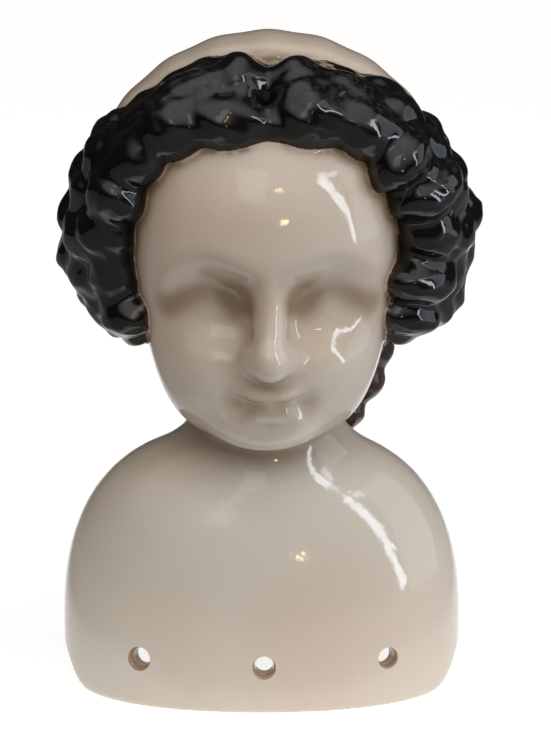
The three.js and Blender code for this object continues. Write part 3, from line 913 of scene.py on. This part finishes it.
class HEAD_OT_shoulder_head(bpy.types.Operator):
    """Cast the shoulder head, hollow it, pierce its sewing holes and glaze it"""
    bl_idname = "shoulder_head.cast"
    bl_label = "Cast the shoulder head"

    def execute(self, context):
        sizes = context.scene.casting_sizes
        casting = Casting(sizes)
        pitch = sizes.fineness
        points, faces = net_surface(casting.solid, ROOM_LOW, ROOM_HIGH, pitch)
        points = settle(casting.solid, points, 2, 0.6 * pitch)
        inner, inner_faces = net_surface(casting.hollow, HOLLOW_LOW, ROOM_HIGH, sizes.inner_fineness)
        inner = settle(casting.hollow, inner, 2, 0.6 * sizes.inner_fineness)

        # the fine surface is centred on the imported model, and fitted into its box
        low, high = (np.array(corner) * 1000 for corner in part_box("shoulder_head"))
        shift = (points.min(0) + points.max(0)) / 2
        shift[2] = points[:, 2].min()
        fit = min(1, ((high - low) / np.ptp(points, axis=0)).min())

        def from_casting(p):
            return (p - shift) * fit / 1000

        def to_casting(p):
            return p * 1000 / fit + shift

        piece = make_object("shoulder_head_glazed", from_casting(points), faces)
        cut(piece, make_object("hollow", from_casting(inner), inner_faces))
        glaze = glaze_material(context.scene.glaze_colours)
        pins = make_pins(sizes, glaze)
        across = (HOLES["middle"], 0, 0) - shift
        pins.data.transform(Matrix.Scale(fit, 4) @ Matrix.Translation(across / 1000))
        cut(piece, pins)
        mesh = piece.data
        mesh.materials.clear()
        mesh.materials.append(glaze)
        mesh.polygons.foreach_set("use_smooth", [True] * len(mesh.polygons))
        mesh.polygons.foreach_set("material_index", [0] * len(mesh.polygons))
        mesh.update()
        write_attributes(mesh, casting, to_casting)
        mesh.set_sharp_from_angle(angle=math.radians(50))
        if len(mesh.polygons) < 1000:
            raise RuntimeError("the casting came out empty")
        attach(piece, "root")
        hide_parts("shoulder_head")
        return {"FINISHED"}


def area_light(name, at, size, power, colour, along=(0, 0, 1)):
    """A lit rectangle that faces the head, with its second side along the given direction."""
    lamp = bpy.data.lights.new(name, "AREA")
    lamp.shape = "RECTANGLE"
    lamp.size, lamp.size_y = size
    lamp.energy = power
    lamp.color = colour
    light = bpy.data.objects.new(name, lamp)
    away = (Vector(at) - Vector(LIGHTS_AIM)).normalized()
    side = Vector(along).cross(away).normalized()
    facing = Matrix((side, away.cross(side), away)).transposed()
    light.matrix_world = Matrix.Translation(at) @ facing.to_4x4()
    bpy.context.scene.collection.objects.link(light)


def strip_light(name, start, end, width, brightness, colour):
    """A narrow lit strip from one point to another."""
    start, end = Vector(start), Vector(end)
    length = (end - start).length
    power = brightness * math.pi * width * length
    area_light(name, (start + end) / 2, (width, length), power, colour, end - start)


def floor_paper(stage):
    """Grey paper that glows in a wedge, fixed on the floor, where the main view shows it."""
    paper = bpy.data.materials.new("pale_floor")
    paper.use_nodes = True
    tree = paper.node_tree
    surface = tree.nodes["Principled BSDF"]
    surface.inputs["Base Color"].default_value = (*stage.floor, 1)
    surface.inputs["Roughness"].default_value = 0.9
    surface.inputs["Specular IOR Level"].default_value = 0.1
    surface.inputs["Emission Color"].default_value = (1, 1, 1, 1)
    where = add_node(tree, "ShaderNodeTexCoord", (-1100, -300)).outputs["Object"]
    place = add_node(tree, "ShaderNodeSeparateXYZ", (-900, -300), Vector=where).outputs
    # the wedge widens with distance, as the view does
    sides = maths(tree, "MULTIPLY_ADD", (-700, -440), place["Y"], -LIT_FLOOR["widening"], -LIT_FLOOR["half"])
    across = maths(tree, "ABSOLUTE", (-700, -600), place["X"])
    past = maths(tree, "ADD", (-540, -440), across, sides)
    beside = ramp(tree, (-380, -440), past, 0.0, LIT_FLOOR["soft"])
    lit = maths(tree, "SUBTRACT", (-220, -440), 1.0, beside)
    back = ramp(tree, (-380, -200), place["Y"], LIT_FLOOR["front"], LIT_FLOOR["full"])
    lit = maths(tree, "MULTIPLY", (-80, -300), lit, back)
    glow = maths(tree, "MULTIPLY", (60, -300), lit, stage.floor_glow)
    tree.links.new(glow, surface.inputs["Emission Strength"])
    return paper


def studio_air(stage):
    """Soft light from above and in front, fading to almost none at the sides."""
    world = bpy.data.worlds.new("studio")
    world.use_nodes = True
    air = world.node_tree
    background = air.nodes["Background"].inputs
    background["Color"].default_value = (1, 0.96, 0.90, 1)
    heading = add_node(air, "ShaderNodeTexCoord", (-900, 0)).outputs["Generated"]
    towards = add_node(air, "ShaderNodeVectorMath", (-700, 0), operation="DOT_PRODUCT")
    towards.inputs[1].default_value = SKY_FROM
    air.links.new(heading, towards.inputs[0])
    above = ramp(air, (-500, 0), towards.outputs["Value"], 0.5, 1.0)
    light = maths(air, "MULTIPLY_ADD", (-300, 0), above, stage.sky, 0.02)
    air.links.new(light, background["Strength"])
    return world


def set_lights(window):
    """A window at the right, soft panels and two small warm lamps."""
    strip_light("window", (0.255, -0.333, 0.418), (0.485, -0.307, 0.037), 0.05, window, COOL)
    strip_light("window_head", (0.255, -0.333, 0.425), (0.355, -0.263, 0.450), 0.03, 0.6 * window, COOL)
    area_light("window_side", (0.72, -0.10, 0.34), (0.6, 0.8), 1.9, COOL)
    strip_light("room_left", (-0.20, -0.42, 0.55), (-0.25, -0.56, 0.22), 0.14, 0.2, (1.0, 0.88, 0.76))
    area_light("room_front", (-0.07, -0.44, 0.40), (0.16, 0.22), 0.14, (1.0, 0.95, 0.88))
    area_light("lamp", (0.10, -0.568, 0.20), (0.016, 0.022), 0.05, WARM)
    area_light("high_lamp", (0.07, -0.49, 0.39), (0.012, 0.012), 0.03, WARM)


def set_camera(stage):
    """The main view, from in front and a little above."""
    away = Vector((0, -math.cos(stage.elevation), math.sin(stage.elevation)))
    camera = bpy.data.objects.new("camera", bpy.data.cameras.new("camera"))
    camera.data.lens = stage.lens
    camera.data.sensor_width = 36
    camera.location = Vector(CAMERA_AIM) + away * stage.distance
    camera.rotation_euler = (-away).to_track_quat("-Z", "Y").to_euler()
    bpy.context.scene.collection.objects.link(camera)
    bpy.context.scene.camera = camera


class HEAD_OT_stage(bpy.types.Operator):
    """Set the floor, the lights and the camera"""
    bl_idname = "shoulder_head.stage"
    bl_label = "Set the stage"

    def execute(self, context):
        stage = context.scene.stage_settings
        far = FLOOR_HALF
        ground = np.array([(-far, -far, 0), (far, -far, 0), (far, far, 0), (-far, far, 0)], float)
        floor = make_object("floor", ground, np.array([[0, 1, 2, 3]]))
        floor.data.materials.append(floor_paper(stage))
        context.scene.world = studio_air(stage)
        set_lights(stage.window)
        set_camera(stage)
        context.scene.view_settings.view_transform = "Standard"
        return {"FINISHED"}


class HEAD_PT_panel(bpy.types.Panel):
    """Sizes, colours and the two operators in the 3D view's sidebar"""
    bl_label = "Shoulder head"
    bl_idname = "HEAD_PT_panel"
    bl_space_type = "VIEW_3D"
    bl_region_type = "UI"
    bl_category = "Shoulder head"

    def draw(self, context):
        scene = context.scene
        for title, settings, operator in (
            ("Casting", scene.casting_sizes, HEAD_OT_shoulder_head),
            ("Glaze", scene.glaze_colours, None),
            ("Stage", scene.stage_settings, HEAD_OT_stage),
        ):
            box = self.layout.box()
            box.label(text=title)
            for name in settings.__annotations__:
                box.prop(settings, name)
            if operator:
                box.operator(operator.bl_idname)


CLASSES = (CastingSizes, GlazeColours, StageSettings, HEAD_OT_shoulder_head, HEAD_OT_stage, HEAD_PT_panel)


def register():
    for cls in CLASSES:
        bpy.utils.register_class(cls)
    bpy.types.Scene.casting_sizes = PointerProperty(type=CastingSizes)
    bpy.types.Scene.glaze_colours = PointerProperty(type=GlazeColours)
    bpy.types.Scene.stage_settings = PointerProperty(type=StageSettings)


def unregister():
    del bpy.types.Scene.casting_sizes
    del bpy.types.Scene.glaze_colours
    del bpy.types.Scene.stage_settings
    for cls in reversed(CLASSES):
        bpy.utils.unregister_class(cls)


def main():
    register()
    bpy.ops.shoulder_head.stage()
    bpy.ops.shoulder_head.cast()


if __name__ == "__main__":
    main()
